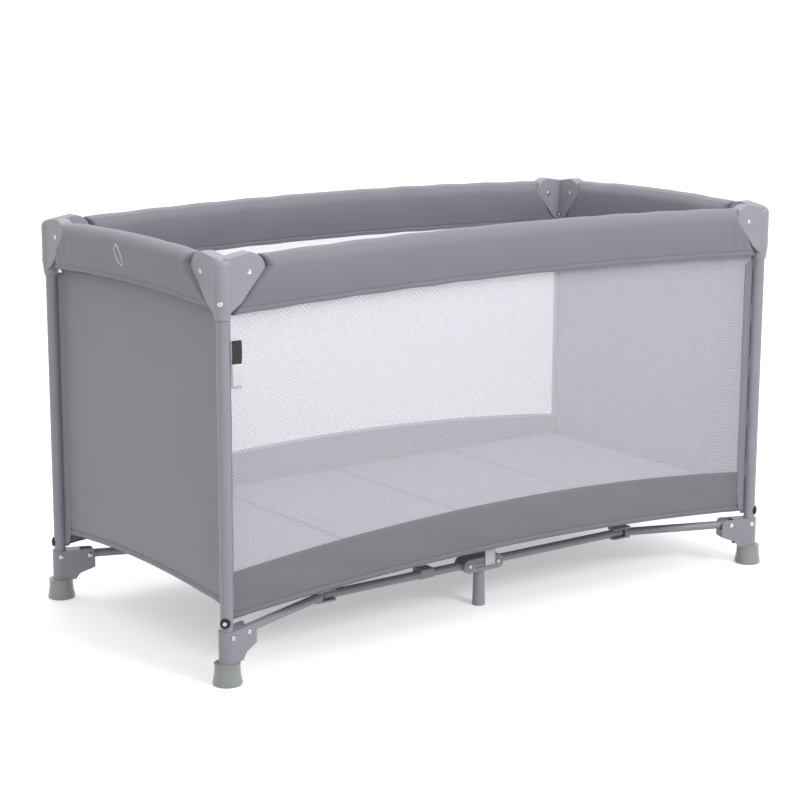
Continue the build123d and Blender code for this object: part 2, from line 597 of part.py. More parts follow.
to_end = Pos(-LEG_X, 0, 0) * Rot(Z=90)
end_rail = to_end * half_rail(LEG_Y, LATCH_PIN_SHORT)
end_latch = to_end * latch_housing(LATCH_PIN_SHORT)
end_button = to_end * latch_button()
end_sleeve = to_end * sleeve(LEG_Y, SLEEVE_DEEP_END, SLEEVE_RISE_END)
end_high = SLEEVE_TOP - SLEEVE_DEEP_END - WALL_SEAM
end_half = LEG_Y - WALL_INSET - WALL_T / 2 - CLOTH_GAP
end_wall = wall(end_half, WALL_LOW_END, WALL_ARCH_END, end_high, SLEEVE_RISE_END - WALL_SEAM)
end_wall = Pos(-LEG_X + WALL_INSET, 0, 0) * Rot(Z=90) * end_wall
for side, side_x in {"left": -1, "right": 1}.items():
    nodes[f"rail_{side}_front"] = to_corner(end_rail, side_x, -1)
    nodes[f"rail_{side}_back"] = to_corner(end_rail, side_x, 1)
    nodes[f"latch_{side}"] = to_corner(end_latch, side_x, -1)
    nodes[f"latch_button_{side}"] = to_corner(end_button, side_x, -1)
    nodes[f"sleeve_{side}"] = to_corner(end_sleeve, side_x, -1)
    nodes[f"wall_{side}"] = to_corner(end_wall, side_x, -1)

nodes["floor_cloth"] = floor_cloth()
nodes["mattress"] = mattress()

for name, shape in nodes.items():
    export_step(shape, f"parts/{name}.step")
print(len(nodes), "nodes written")
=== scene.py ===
from math import atan2, cos, exp, hypot, pi, radians, sin, sqrt, tan

import bmesh
import bpy
from mathutils import Matrix, Vector


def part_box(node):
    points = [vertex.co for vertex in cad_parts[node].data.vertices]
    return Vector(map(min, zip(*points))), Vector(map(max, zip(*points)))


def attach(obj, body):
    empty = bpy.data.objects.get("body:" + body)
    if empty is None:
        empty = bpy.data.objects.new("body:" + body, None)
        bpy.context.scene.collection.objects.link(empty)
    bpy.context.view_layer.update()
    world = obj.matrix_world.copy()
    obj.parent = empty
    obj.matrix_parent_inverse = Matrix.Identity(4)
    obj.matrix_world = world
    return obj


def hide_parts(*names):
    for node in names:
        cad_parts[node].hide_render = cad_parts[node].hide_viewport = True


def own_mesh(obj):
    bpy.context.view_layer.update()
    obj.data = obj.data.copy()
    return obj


# A folding travel cot: steel legs and hinged top rails in padded sleeves, net and cloth
# walls, a hinged base and a mattress in four panels. Lengths are in metres.
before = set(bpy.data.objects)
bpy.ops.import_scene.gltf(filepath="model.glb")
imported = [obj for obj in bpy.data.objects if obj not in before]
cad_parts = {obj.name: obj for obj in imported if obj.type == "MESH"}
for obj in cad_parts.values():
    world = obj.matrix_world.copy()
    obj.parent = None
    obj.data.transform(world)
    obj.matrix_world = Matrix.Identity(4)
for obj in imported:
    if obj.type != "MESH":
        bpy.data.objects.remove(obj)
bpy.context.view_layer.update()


# --- Camera: a long lens off the front left corner, a little above the top rails, ---
# turned down so that the whole cot stands in the frame.
look_turn, look_down, look_roll = radians(36.44), radians(12.05), radians(0.19)
camera_data = bpy.data.cameras.new("camera")
camera_data.lens = 93.6
camera = bpy.data.objects.new("camera", camera_data)
camera.matrix_world = (
    Matrix.Translation((-2.400, -3.199, 1.2194))
    @ Matrix.Rotation(-look_turn, 4, "Z")
    @ Matrix.Rotation(pi / 2 - look_down, 4, "X")
    @ Matrix.Rotation(look_roll, 4, "Z")
)
bpy.context.scene.collection.objects.link(camera)
bpy.context.scene.camera = camera


# --- Studio: a matt white floor under a white sky, with three large soft lamps. The ---
# floor glows faintly, so that it stays white up to the shadows.
def linear(hex_colour):
    """An sRGB hex colour as linear RGBA."""
    parts = [int(hex_colour[i : i + 2], 16) / 255 for i in (1, 3, 5)]
    return [c / 12.92 if c <= 0.04045 else ((c + 0.055) / 1.055) ** 2.4 for c in parts] + [1.0]


def add(material, kind, inputs, **settings):
    """Add a node to a material. An input is given a value or another node's output."""
    tree = material.node_tree
    node = tree.nodes.new("ShaderNode" + kind)
    for name, value in settings.items():
        setattr(node, name, value)
    for name, value in inputs.items():
        if isinstance(value, bpy.types.NodeSocket):
            tree.links.new(value, node.inputs[name])
        else:
            node.inputs[name].default_value = value
    return node


def new_material(name, sockets):
    """A material and its Principled shader, with the shader's own sockets set."""
    material = bpy.data.materials.new(name)
    material.use_nodes = True
    shader = material.node_tree.nodes["Principled BSDF"]
    for socket, value in sockets.items():
        shader.inputs[socket].default_value = value
    return material, shader


def make_piece(bm, name, material, place=None):
    """Turn a bmesh into a smooth-shaded object at the origin, its place in its mesh."""
    if place is not None:
        bmesh.ops.transform(bm, matrix=place, verts=bm.verts)
    mesh = bpy.data.meshes.new(name)
    bm.to_mesh(mesh)
    bm.free()
    mesh.materials.append(material)
    mesh.polygons.foreach_set("use_smooth", [True] * len(mesh.polygons))
    piece = bpy.data.objects.new(name, mesh)
    bpy.context.scene.collection.objects.link(piece)
    return piece


floor_paint, _ = new_material(
    "studio_floor_paint",
    {
        "Base Color": linear("#F4F3F5"),
        "Roughness": 0.9,
        "Emission Color": linear("#FFFFFF"),
        "Emission Strength": 0.34,
    },
)
bm = bmesh.new()
bmesh.ops.create_circle(bm, cap_ends=True, segments=64, radius=60.0)
floor = make_piece(bm, "studio_floor", floor_paint)
floor.visible_diffuse = False  # the sky's own lower half stands for the light off the floor

sky_above, sky_below = 0.95, 0.42
world = bpy.data.worlds.new("white_sky")
world.use_nodes = True
direction = add(world, "TexCoord", {}).outputs["Generated"]
height = add(world, "SeparateXYZ", {0: direction}).outputs["Z"]
strength = add(
    world,
    "MapRange",
    {"Value": height, "From Min": -0.3, "From Max": 0.3, "To Min": sky_below, "To Max": sky_above},
)
world.node_tree.links.new(
    strength.outputs["Result"], world.node_tree.nodes["Background"].inputs["Strength"]
)
world.node_tree.nodes["Background"].inputs["Color"].default_value = linear("#FFFFFF")
bpy.context.scene.world = world
bpy.context.scene.view_settings.view_transform = "Standard"

lamps = {
    "key": ((0.5, -3.4, 2.6), 1.1, 60.0),
    "fill": ((-3.6, -0.6, 1.6), 0.8, 2.0),
    "rim": ((0.4, 1.6, 3.4), 1.6, 22.0),
}
for name, (spot, size, watts) in lamps.items():
    lamp = bpy.data.lights.new(name, "AREA")
    lamp.size, lamp.energy = size, watts
    lamp_object = bpy.data.objects.new(name, lamp)
    aim = Vector((0, 0, 0.4)) - Vector(spot)
    turn = aim.to_track_quat("-Z", "Y").to_matrix().to_4x4()
    lamp_object.matrix_world = Matrix.Translation(spot) @ turn
    bpy.context.scene.collection.objects.link(lamp_object)


# --- Painted steel tubes: legs, top rails, base tubes and arms. Drawn steel tube in a ---
# satin grey powder coat, which bakes to a faint orange peel.
def grain(material, shader, size, depth, colours, roughness):
    """Fine grain of a moulded or coated surface, with a slow drift of tone and gloss."""
    place = add(material, "TexCoord", {}).outputs["Object"]
    fine = add(material, "TexNoise", {"Vector": place, "Scale": 1 / size, "Detail": 2.0})
    slow = add(material, "TexNoise", {"Vector": place, "Scale": 14.0, "Detail": 4.0})
    bump = add(material, "Bump", {"Height": fine.outputs["Fac"], "Distance": depth})
    tone = add(
        material,
        "Mix",
        {0: slow.outputs["Fac"], 6: linear(colours[0]), 7: linear(colours[1])},
        data_type="RGBA",
    )
    gloss = add(
        material,
        "MapRange",
        {"Value": slow.outputs["Fac"], "To Min": roughness[0], "To Max": roughness[1]},
    )
    links = material.node_tree.links
    links.new(bump.outputs["Normal"], shader.inputs["Normal"])
    links.new(tone.outputs[2], shader.inputs["Base Color"])
    links.new(gloss.outputs["Result"], shader.inputs["Roughness"])


def dress(node, material):
    """Give a CAD node its finish."""
    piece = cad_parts[node]
    piece.data.materials.clear()
    piece.data.materials.append(material)


corners = {"fl": (-1, -1), "fr": (1, -1), "br": (1, 1), "bl": (-1, 1)}
peel_size, peel_depth = 0.0022, 0.00006
powder_coat, shader = new_material("grey_powder_coat", {"Specular IOR Level": 0.5, "Coat Weight": 0.12})
grain(powder_coat, shader, peel_size, peel_depth, ("#908D98", "#9D9AA5"), (0.34, 0.46))
for corner in corners:
    for name in ("leg_tube", "base_arm", "base_tube"):
        dress(f"{name}_{corner}", powder_coat)
for side in ("front", "back"):
    for half in ("left", "right"):
        dress(f"rail_{side}_{half}", powder_coat)
for side in ("left", "right"):
    for half in ("front", "back"):
        dress(f"rail_{side}_{half}", powder_coat)


# --- Corner caps, foot brackets, hubs and centre legs: injection-moulded nylon in the ---
# frame's grey, with the fine even grain of a spark-eroded mould.
mould_grain, mould_depth = 0.0011, 0.00007
cap_nylon, shader = new_material("grey_moulded_nylon", {"IOR": 1.53})
grain(cap_nylon, shader, mould_grain, mould_depth, ("#9996A0", "#A5A2AC"), (0.4, 0.5))
bracket_nylon, shader = new_material("bracket_moulded_nylon", {"IOR": 1.53})
grain(bracket_nylon, shader, mould_grain, mould_depth, ("#8E8B95", "#9A97A0"), (0.38, 0.48))
for corner in corners:
    dress(f"corner_cap_{corner}", cap_nylon)
    dress(f"foot_bracket_{corner}", bracket_nylon)
for side in ("front", "back"):
    dress(f"hub_{side}", bracket_nylon)
    dress(f"centre_leg_{side}", bracket_nylon)


# --- Feet: glossier polypropylene bells pushed on the legs, a slightly greener grey, ---
# with a faint unevenness in their gloss.
foot_plastic, shader = new_material("foot_polypropylene", {"IOR": 1.49, "Coat Weight": 0.3})
grain(foot_plastic, shader, 0.004, 0.00004, ("#8C908F", "#9A9E9C"), (0.2, 0.34))
for corner in corners:
    dress(f"foot_{corner}", foot_plastic)


# --- Latches and their release buttons: dark glass-filled nylon, hidden in the sleeves ---
# and felt through the cloth under the middle of each rail.
dark_nylon, shader = new_material("dark_filled_nylon", {"IOR": 1.54})
grain(dark_nylon, shader, 0.0008, 0.00008, ("#3A393E", "#454449"), (0.45, 0.6))
button_nylon, shader = new_material("button_moulded_nylon", {"IOR": 1.54})
grain(button_nylon, shader, 0.0008, 0.00005, ("#6B686F", "#757279"), (0.35, 0.5))
for side in ("front", "back", "left", "right"):
    dress(f"latch_{side}", dark_nylon)
    dress(f"latch_button_{side}", button_nylon)


# --- Corner rivets and pins: semi-tubular zinc-plated steel, pressed over so that each ---
# head is a bright dome with a dimple. The hinge pins run between two heads.
zinc_plate, shader = new_material("zinc_plated_steel", {"Metallic": 1.0})
grain(zinc_plate, shader, 0.0015, 0.00002, ("#BDBBC1", "#CFCDD2"), (0.16, 0.28))


def dome(bm, place, radius, height, dimple):
    """A rivet head along Z: a dimpled dome spun from its outline."""
    outline = [
        (0.0, height - dimple),
        (radius * 0.16, height - dimple * 0.8),
        (radius * 0.26, height),
        (radius * 0.55, height * 0.93),
        (radius * 0.82, height * 0.66),
        (radius * 0.97, height * 0.24),
        (radius, 0.0),
        (0.0, 0.0),
    ]
    points = [bm.verts.new((x, 0, z)) for x, z in outline]
    edges = [bm.edges.new(pair) for pair in zip(points, points[1:])]
    made = bmesh.ops.spin(
        bm, geom=points + edges, axis=(0, 0, 1), cent=(0, 0, 0), angle=2 * pi, steps=28, use_merge=True
    )
    verts = {v for f in bm.faces if not f.tag for v in f.verts} | set(
        v for v in made["geom_last"] if isinstance(v, bmesh.types.BMVert)
    )
    bmesh.ops.transform(bm, matrix=place, verts=list(verts))
    for face in bm.faces:
        face.tag = True


def shank(bm, start, end, radius):
    """A plain round pin between two points."""
    line = Vector(end) - Vector(start)
    turn = line.to_track_quat("Z", "Y").to_matrix().to_4x4()
    place = Matrix.Translation((Vector(start) + Vector(end)) / 2) @ turn
    bmesh.ops.create_cone(
        bm, cap_ends=True, segments=20, radius1=radius, radius2=radius, depth=line.length, matrix=place
    )
    for face in bm.faces:
        face.tag = True


def facing(spot, normal):
    """The placement of something along Z at a spot, turned to face along a normal."""
    return Matrix.Translation(spot) @ Vector(normal).to_track_quat("Z", "Y").to_matrix().to_4x4()


def close_shell(bm):
    """Merge doubles and point the faces of closed shells outwards."""
    bmesh.ops.remove_doubles(bm, verts=bm.verts, dist=0.00001)
    bmesh.ops.recalc_face_normals(bm, faces=bm.faces)


leg_low, leg_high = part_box("leg_tube_fl")
leg_x, leg_y = -(leg_low.x + leg_high.x) / 2, -(leg_low.y + leg_high.y) / 2
leg_radius = (leg_high.x - leg_low.x) / 2
rail_low, rail_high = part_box("rail_front_left")
rail_z = (rail_low.z + rail_high.z) / 2
base_low, base_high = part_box("base_tube_bl")
base_y = (base_low.y + base_high.y) / 2
base_z = 0.084
ear_pin, ear_half = 0.046, 0.013
boss_rivet_z, boss_grip = 0.660, 0.015
foot_pin, elbow_x = 0.047, 0.360
arm_angle = atan2(leg_y - base_y, leg_x - elbow_x)
bracket_half = 0.0146
washer_z, washer_thick = 0.111, 0.003
head_radius, head_height, head_dimple = 0.0052, 0.0022, 0.0009
slant = sqrt(0.5)


def corner_place(side_x, side_y):
    """From a leg's own frame, x and y pointing into the cot, to its corner."""
    spot = Matrix.Translation((side_x * leg_x, side_y * leg_y, 0))
    return spot @ Matrix.Diagonal((-side_x, -side_y, 1, 1))


def corner_rivets(bm):
    """Both ear pins, the cap rivet, the bracket rivet, the foot pin and the screw."""
    heads = []
    for way in (-1, 1):
        heads.append(((ear_pin, way * ear_half, rail_z), (0, way, 0)))
        heads.append(((way * ear_half, ear_pin, rail_z), (way, 0, 0)))
        along = way * boss_grip * slant
        heads.append(((along, along, boss_rivet_z), (way, way, 0)))
        normal = Vector((-way * sin(arm_angle), way * cos(arm_angle), 0))
        heads.append((normal * bracket_half + Vector((0, 0, base_z)), normal))
        pin_y = foot_pin * tan(arm_angle) + way * bracket_half / cos(arm_angle)
        heads.append(((foot_pin, pin_y, base_z), normal))
    for spot, normal in heads:
        dome(bm, facing(spot, normal), head_radius, head_height, head_dimple)
    screw_at = -(leg_radius + washer_thick) * slant
    screw = facing((screw_at, screw_at, washer_z), (-1, -1, 0))
    dome(bm, screw, 0.0042, 0.0026, 0.0012)
    pin = 0.003
    shank(bm, (ear_pin, -ear_half, rail_z), (ear_pin, ear_half, rail_z), pin)
    shank(bm, (-ear_half, ear_pin, rail_z), (ear_half, ear_pin, rail_z), pin)
    middle = foot_pin * tan(arm_angle)
    reach = bracket_half / cos(arm_angle)
    shank(bm, (foot_pin, middle - reach, base_z), (foot_pin, middle + reach, base_z), pin)


for corner, (side_x, side_y) in corners.items():
    bm = bmesh.new()
    corner_rivets(bm)
    bmesh.ops.transform(bm, matrix=corner_place(side_x, side_y), verts=bm.verts)
    close_shell(bm)
    rivets = make_piece(bm, f"corner_rivets_{corner}", zinc_plate)
    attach(rivets, f"leg_{corner}")
    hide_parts(f"corner_hardware_{corner}")


# --- Wall washers: black rubber cups under the screws that hold the cloth's corners, ---
# ribbed once round and dished for the screw's head.
washer_rubber, shader = new_material("black_moulded_rubber", {"IOR": 1.5})
grain(washer_rubber, shader, 0.0009, 0.00006, ("#1E1D21", "#2A292D"), (0.4, 0.55))
washer_outline = [
    (0.0028, 0.0016), (0.0050, 0.0016), (0.0056, 0.0030), (0.0064, 0.0034), (0.0070, 0.0026),
    (0.0078, 0.0024), (0.0086, 0.0026), (0.0091, 0.0016), (0.0091, -0.0034), (0.0028, -0.0006),
]
for corner, (side_x, side_y) in corners.items():
    bm = bmesh.new()
    points = [bm.verts.new((x, 0, z)) for x, z in washer_outline]
    edges = [bm.edges.new(pair) for pair in zip(points, points[1:] + points[:1])]
    bmesh.ops.spin(
        bm, geom=points + edges, axis=(0, 0, 1), cent=(0, 0, 0), angle=2 * pi, steps=40, use_merge=True
    )
    washer_at = -leg_radius * slant
    spot = facing((washer_at, washer_at, washer_z), (-1, -1, 0))
    bmesh.ops.transform(bm, matrix=corner_place(side_x, side_y) @ spot, verts=bm.verts)
    close_shell(bm)
    washer = make_piece(bm, f"wall_washer_{corner}", washer_rubber)
    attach(washer, f"leg_{corner}")
    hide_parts(f"corner_hardware_{corner}")


# --- Hub rivets: the same plated rivets, one through each end of both base hubs, ---
# pressed over on the two faces so that the base tubes turn on them.
hub_pin, hub_half = 0.034, 0.016
for side, side_y in (("front", -1), ("back", 1)):
    bm = bmesh.new()
    for x in (-hub_pin, hub_pin):
        for way in (-1, 1):
            spot = (x, side_y * abs(base_y) + way * hub_half, base_z)
            dome(bm, facing(spot, (0, way, 0)), 0.0052, 0.0019, 0.0008)
    close_shell(bm)
    rivets = make_piece(bm, f"hub_rivets_{side}", zinc_plate)
    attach(rivets, f"base_hub_{side}")


# --- Rail sleeves: padded tubes of coated polyester oxford round each top rail, sewn ---
# shut below the rail with a hemmed edge, a piped seam inside the top, and ends that are
# cut to the caps' ears. Each sleeve is cut at the latch pins, where the rail hinges.
def weave(material, shader, thread, depth, colours, roughness):
    """Plain weave on the UV map, drawn with a thread spacing, over a slow drift of tone."""
    uv = add(material, "UVMap", {}).outputs["UV"]
    waves = add(material, "VectorMath", {0: uv, 1: (pi / thread, pi / thread, 0)}, operation="MULTIPLY")
    crests = add(material, "VectorMath", {0: waves.outputs[0]}, operation="SINE")
    split = add(material, "SeparateXYZ", {0: crests.outputs[0]})
    over = add(material, "Math", {0: split.outputs[0], 1: split.outputs[1]}, operation="MULTIPLY")
    bump = add(material, "Bump", {"Height": over.outputs[0], "Distance": depth})
    slow = add(material, "TexNoise", {"Vector": uv, "Scale": 9.0, "Detail": 5.0})
    fleck = add(material, "TexNoise", {"Vector": uv, "Scale": 420.0, "Detail": 2.0})
    both = add(
        material,
        "Math",
        {0: slow.outputs["Fac"], 1: fleck.outputs["Fac"], 2: 0.25},
        operation="MULTIPLY_ADD",
    )
    tone = add(
        material,
        "Mix",
        {0: both.outputs[0], 6: linear(colours[0]), 7: linear(colours[1])},
        data_type="RGBA",
    )
    gloss = add(
        material,
        "MapRange",
        {"Value": fleck.outputs["Fac"], "To Min": roughness[0], "To Max": roughness[1]},
    )
    links = material.node_tree.links
    links.new(bump.outputs["Normal"], shader.inputs["Normal"])
    links.new(tone.outputs[2], shader.inputs["Base Color"])
    links.new(gloss.outputs["Result"], shader.inputs["Roughness"])


def cloth_grid(columns, rows, size, shape, pattern=None):
    """A grid of quads bent to shape(u, v), u and v from 0 to 1, its UV map in metres."""
    bm = bmesh.new()
    bmesh.ops.create_grid(bm, x_segments=columns, y_segments=rows, size=0.5)
    uv_map = bm.loops.layers.uv.new("UVMap")
    for face in bm.faces:
        for loop in face.loops:
            u, v = loop.vert.co.x + 0.5, loop.vert.co.y + 0.5
            loop[uv_map].uv = pattern(u, v) if pattern else (u * size[0], v * size[1])
    for vert in bm.verts:
        vert.co = shape(vert.co.x + 0.5, vert.co.y + 0.5)
    return bm


oxford_thread = 0.0013  # drawn twice as coarse as the real 0.6 mm, so that it shows
sleeve_oxford, shader = new_material(
    "coated_polyester_oxford", {"Sheen Weight": 0.25, "Sheen Roughness": 0.4, "IOR": 1.45}
)
weave(sleeve_oxford, shader, oxford_thread, 0.00012, ("#827F89", "#908D97"), (0.5, 0.62))

sleeve_roll, sleeve_edge, sleeve_top = 0.023, 0.009, 0.733
sleeve_end_gap, sleeve_end_round = 0.0015, 0.008
neck_low, neck_reach, lobe_radius = 0.637, 0.013, 0.033
boss_clear = 0.0165
ear_slope = (0.075 - neck_reach) / (0.708 - neck_low)
sides = {
    "front": {"turn": 0, "half": leg_x, "out": leg_y, "pin": 0.035, "deep": 0.096, "rise": 0.015},
    "right": {"turn": pi / 2, "half": leg_y, "out": leg_x, "pin": 0.056, "deep": 0.088, "rise": 0.011},
    "back": {"turn": pi, "half": leg_x, "out": leg_y, "pin": 0.035, "deep": 0.096, "rise": 0.015},
    "left": {"turn": -pi / 2, "half": leg_y, "out": leg_x, "pin": 0.056, "deep": 0.088, "rise": 0.011},
}
side_ends = {  # the rails at the low and high end of each side's own x
    "front": ("left", "right"),
    "right": ("front", "back"),
    "back": ("right", "left"),
    "left": ("back", "front"),
}


def side_place(side):
    """From a side's own frame, x along it and y into the cot, to its place."""
    facts = sides[side]
    return Matrix.Rotation(facts["turn"], 4, "Z") @ Matrix.Translation((0, -facts["out"], 0))


def ear_reach(z):
    """How far the cap's ear reaches from the leg's axis at a height."""
    lobe = ear_pin + sqrt(max(lobe_radius**2 - (z - rail_z) ** 2, 0.0))
    under = neck_reach + (z - neck_low) * ear_slope
    return max(min(lobe, under), boss_clear)


def half_outline(deep):
    """Half thickness and height above the lower edge, from the edge's middle to the top."""
    corner = 0.004
    points = [(0.0, 0.0)]
    for step in range(4):
        turn = -pi / 2 + pi / 6 * step
        points.append((sleeve_edge - corner + corner * cos(turn), corner + corner * sin(turn)))
    middle = deep - sleeve_roll
    hem = [(0.0062, 0.0), (0.0078, -0.0002), (0.0090, -0.0012), (0.0102, -0.0012), (0.0116, 0.0001)]
    side_heights = [(h, dent) for h, dent in hem]
    steps = 13
    side_heights += [(0.014 + (middle - 0.014) * i / steps, 0.0) for i in range(steps + 1)]
    for height, dent in side_heights:
        share = (height - corner) / (middle - corner)
        points.append((sleeve_edge + (sleeve_roll - sleeve_edge) * sin(pi / 2 * share) + dent, height))
    steps = 14
    for i in range(1, steps + 1):
        turn = pi / 2 * i / steps
        points.append((sleeve_roll * cos(turn), middle + sleeve_roll * sin(turn)))
    return points


def smooth(value, low, high):
    """A soft step from 0 at low to 1 at high."""
    share = min(max((value - low) / (high - low), 0.0), 1.0)
    return share * share * (3 - 2 * share)


def sleeve_part(side, way):
    """A third of a sleeve in its side's own frame: way -1 and 1 are the ends, 0 the middle."""
    facts = sides[side]
    outline = half_outline(facts["deep"])
    last = len(outline) - 1
    girth = [0.0]
    for a, b in zip(outline, outline[1:]):
        girth.append(girth[-1] + hypot(b[0] - a[0], b[1] - a[1]))
    rows = 2 * last
    length = facts["half"] - facts["pin"]
    span = 2 * facts["pin"] if way == 0 else length
    columns = 12 if way == 0 else round(length / 0.009)
    turned = 6  # columns that round the end over

    def shape(u, v):
        row = round(v * rows)
        outer = row <= last
        thick, height = outline[row if outer else rows - row]
        z = sleeve_top - facts["deep"] + height
        if way == 0:
            x, round_over, fade = (2 * u - 1) * facts["pin"], 1.0, 0.0
        else:
            end = facts["half"] - ear_reach(z) - sleeve_end_gap
            column = round(u * columns)
            plain = columns - turned
            if column <= plain:
                reach = end - sleeve_end_round - facts["pin"]
                x, round_over = facts["pin"] + reach * column / plain, 1.0
            else:
                turn = pi / 2 * (column - plain) / turned
                x, round_over = end - sleeve_end_round * (1 - sin(turn)), cos(turn)
            fade = smooth(x, facts["pin"], facts["pin"] + 0.07)
        near_end = exp(-(facts["half"] - 0.06 - x) / 0.07)
        folds = 0.0011 * near_end * sin(2 * pi * x / 0.027 + 55 * z + (0.7 if outer else 2.9))
        slack = 0.0010 * sin(2 * pi * x / 0.19 + 1.3 * facts["turn"] + 18 * z)
        fullness = sin(pi * min(height / facts["deep"], 1.0))
        thick += fade * fullness * (folds + slack)
        if not outer and 0.78 < (height - facts["deep"] + sleeve_roll) / sleeve_roll < 0.86:
            thick += 0.0011
        z += facts["rise"] * (1 - (x / facts["half"]) ** 2)
        z += 0.0006 * fade * sin(2 * pi * x / 0.11 + facts["turn"])
        y = -thick * round_over if outer else thick * round_over
        return (x if way >= 0 else -x), y, z

    def pattern(u, v):
        row = round(v * rows)
        return u * span, girth[row if row <= last else rows - row]

    bm = cloth_grid(columns, rows, None, shape, pattern)
    bmesh.ops.remove_doubles(bm, verts=bm.verts, dist=0.00001)
    open_edges = [e for e in bm.edges if e.is_boundary]
    ends = bmesh.ops.holes_fill(bm, edges=open_edges, sides=0)["faces"]
    for face in ends:
        for edge in face.edges:
            edge.smooth = False
    bmesh.ops.recalc_face_normals(bm, faces=bm.faces)
    return bm


sleeves = {}
for side, (low_end, high_end) in side_ends.items():
    parts = {
        low_end: (-1, f"half_rail_{side}_{low_end}"),
        "middle": (0, f"latch_body_{side}"),
        high_end: (1, f"half_rail_{side}_{high_end}"),
    }
    for part, (way, body) in parts.items():
        name = f"sleeve_{side}_{part}"
        sleeves[name] = make_piece(sleeve_part(side, way), name, sleeve_oxford, side_place(side))
        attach(sleeves[name], body)
        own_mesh(sleeves[name])
        if way == 0:
            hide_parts(f"sleeve_{side}")


# --- Stitched ring: a plain oval of white polyester thread, sewn through the cloth of ---
# the left sleeve's outer face, where it follows the padding.
white_thread, shader = new_material("white_polyester_thread", {"Sheen Weight": 0.3, "IOR": 1.5})
grain(white_thread, shader, 0.0009, 0.00012, ("#E6E2EA", "#F6F3F8"), (0.5, 0.62))
ring_y, ring_z, ring_lean = 0.004, 0.705, -0.42
ring_wide, ring_high, thread_radius = 0.009, 0.019, 0.0009
bm = bmesh.new()
section_place = Matrix.Translation((1, 0, 0)) @ Matrix.Rotation(pi / 2, 4, "X")
bmesh.ops.create_circle(bm, segments=8, radius=thread_radius, matrix=section_place)
bmesh.ops.spin(
    bm,
    geom=bm.verts[:] + bm.edges[:],
    axis=(0, 0, 1),
    cent=(0, 0, 0),
    angle=2 * pi,
    steps=72,
    use_merge=True,
)
carrier = sleeves["sleeve_left_middle"]
bpy.context.view_layer.update()
for vert in bm.verts:
    turn = atan2(vert.co.y, vert.co.x)
    off, proud = hypot(vert.co.x, vert.co.y) - 1, vert.co.z
    across, up = (ring_wide + off) * cos(turn), (ring_high + off) * sin(turn)
    spot = Vector((
        -leg_x - 0.05,
        ring_y + across * cos(ring_lean) - up * sin(ring_lean),
        ring_z + across * sin(ring_lean) + up * cos(ring_lean),
    ))
    hit, surface, normal, _ = carrier.ray_cast(spot, Vector((1, 0, 0)))
    if not hit:
        surface, normal = carrier.closest_point_on_mesh(spot)[1:3]
    vert.co = surface + normal * (proud + 0.0004)
close_shell(bm)
ring = make_piece(bm, "stitched_ring", white_thread)
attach(ring, "latch_body_left")
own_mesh(ring)


# --- Long walls: knitted polyester net, sewn to the sleeves above and to a cloth band ---
# below, and hanging in the plane just inside the legs.
wall_inset, wall_half_long = 0.015, leg_x - 0.014
net_repeat = 0.0034  # between holes; drawn wider than the real 2.5 mm, so that they show
net_open, net_soft = 0.09, 0.12  # where the knit's wave is cut, which leaves 58% of it thread
net, shader = new_material(
    "white_warp_knit_net", {"Base Color": linear("#E9E5F0"), "Roughness": 0.75, "IOR": 1.5}
)
uv = add(net, "UVMap", {}).outputs["UV"]
repeats = (2 * pi / net_repeat, 2 * pi / (net_repeat * sqrt(3)), 0)
waves = add(net, "VectorMath", {0: uv, 1: repeats}, operation="MULTIPLY")
crests = add(net, "VectorMath", {0: waves.outputs[0]}, operation="COSINE")
split = add(net, "SeparateXYZ", {0: crests.outputs[0]})
holes = add(net, "Math", {0: split.outputs[0], 1: split.outputs[1]}, operation="MULTIPLY")
cover = add(
    net,
    "MapRange",
    {
        "Value": holes.outputs[0],
        "From Min": net_open - net_soft,
        "From Max": net_open + net_soft,
        "To Min": 1.0,
        "To Max": 0.0,
    },
)
net.node_tree.links.new(cover.outputs["Result"], shader.inputs["Alpha"])
bump = add(net, "Bump", {"Height": holes.outputs[0], "Distance": -0.0004})
net.node_tree.links.new(bump.outputs["Normal"], shader.inputs["Normal"])

band_oxford, shader = new_material(
    "band_polyester_oxford", {"Sheen Weight": 0.2, "Sheen Roughness": 0.4, "IOR": 1.45}
)
weave(band_oxford, shader, oxford_thread, 0.00012, ("#76747B", "#838188"), (0.55, 0.66))
# The same oxford as the sleeves, painted a little lighter: painted light for the brighter light on the
# end walls and leg bindings.
panel_oxford_painted_light, shader = new_material(
    "panel_oxford_with_painted_light", {"Sheen Weight": 0.25, "Sheen Roughness": 0.4, "IOR": 1.45}
)
weave(panel_oxford_painted_light, shader, oxford_thread, 0.00012, ("#8A8790", "#97949D"), (0.5, 0.62))

long_low, long_arch = 0.108, 0.029
band_heights = {"front": 0.082, "back": 0.100}
hem_high, hem_proud = 0.009, 0.0024
hem_rows = [0, 0.0006, 0.002, 0.0038, 0.0056, 0.0074, 0.0086, 0.0094, 0.0104, 0.012]


def arch(x, half):
    """1 in the middle of a span and 0 at its ends."""
    return 1 - (x / half) ** 2


def hem_bulge(height):
    """How far a rolled hem stands out at a height above the cloth's edge."""
    if height < hem_high:
        return hem_proud * sqrt(max(1 - (2 * height / hem_high - 1) ** 2, 0.0))
    return -0.0006 * exp(-(((height - hem_high - 0.0006) / 0.0008) ** 2))


def net_wall(side, low_of):
    """The net from just below the band's top up into the sleeve's lower edge."""
    facts = sides[side]
    half = wall_half_long
    high = sleeve_top - facts["deep"] + 0.004

    def shape(u, v):
        x = (2 * u - 1) * half
        z_low = low_of(x)
        z_high = high + facts["rise"] * arch(x, half)
        z = z_low + (z_high - z_low) * v
        y = wall_inset - 0.008 * smooth(z, z_high - 0.03, z_high)
        y += 0.0016 * sin(pi * v) * sin(2 * pi * u * 3 + 0.8) * arch(x, half)
        return x, y, z

    wide, tall = 2 * half, 0.44

    def courses(u, v):
        return (u * wide, v * tall) if side == "front" else (v * tall, u * wide)

    return cloth_grid(96, 40, None, shape, courses)


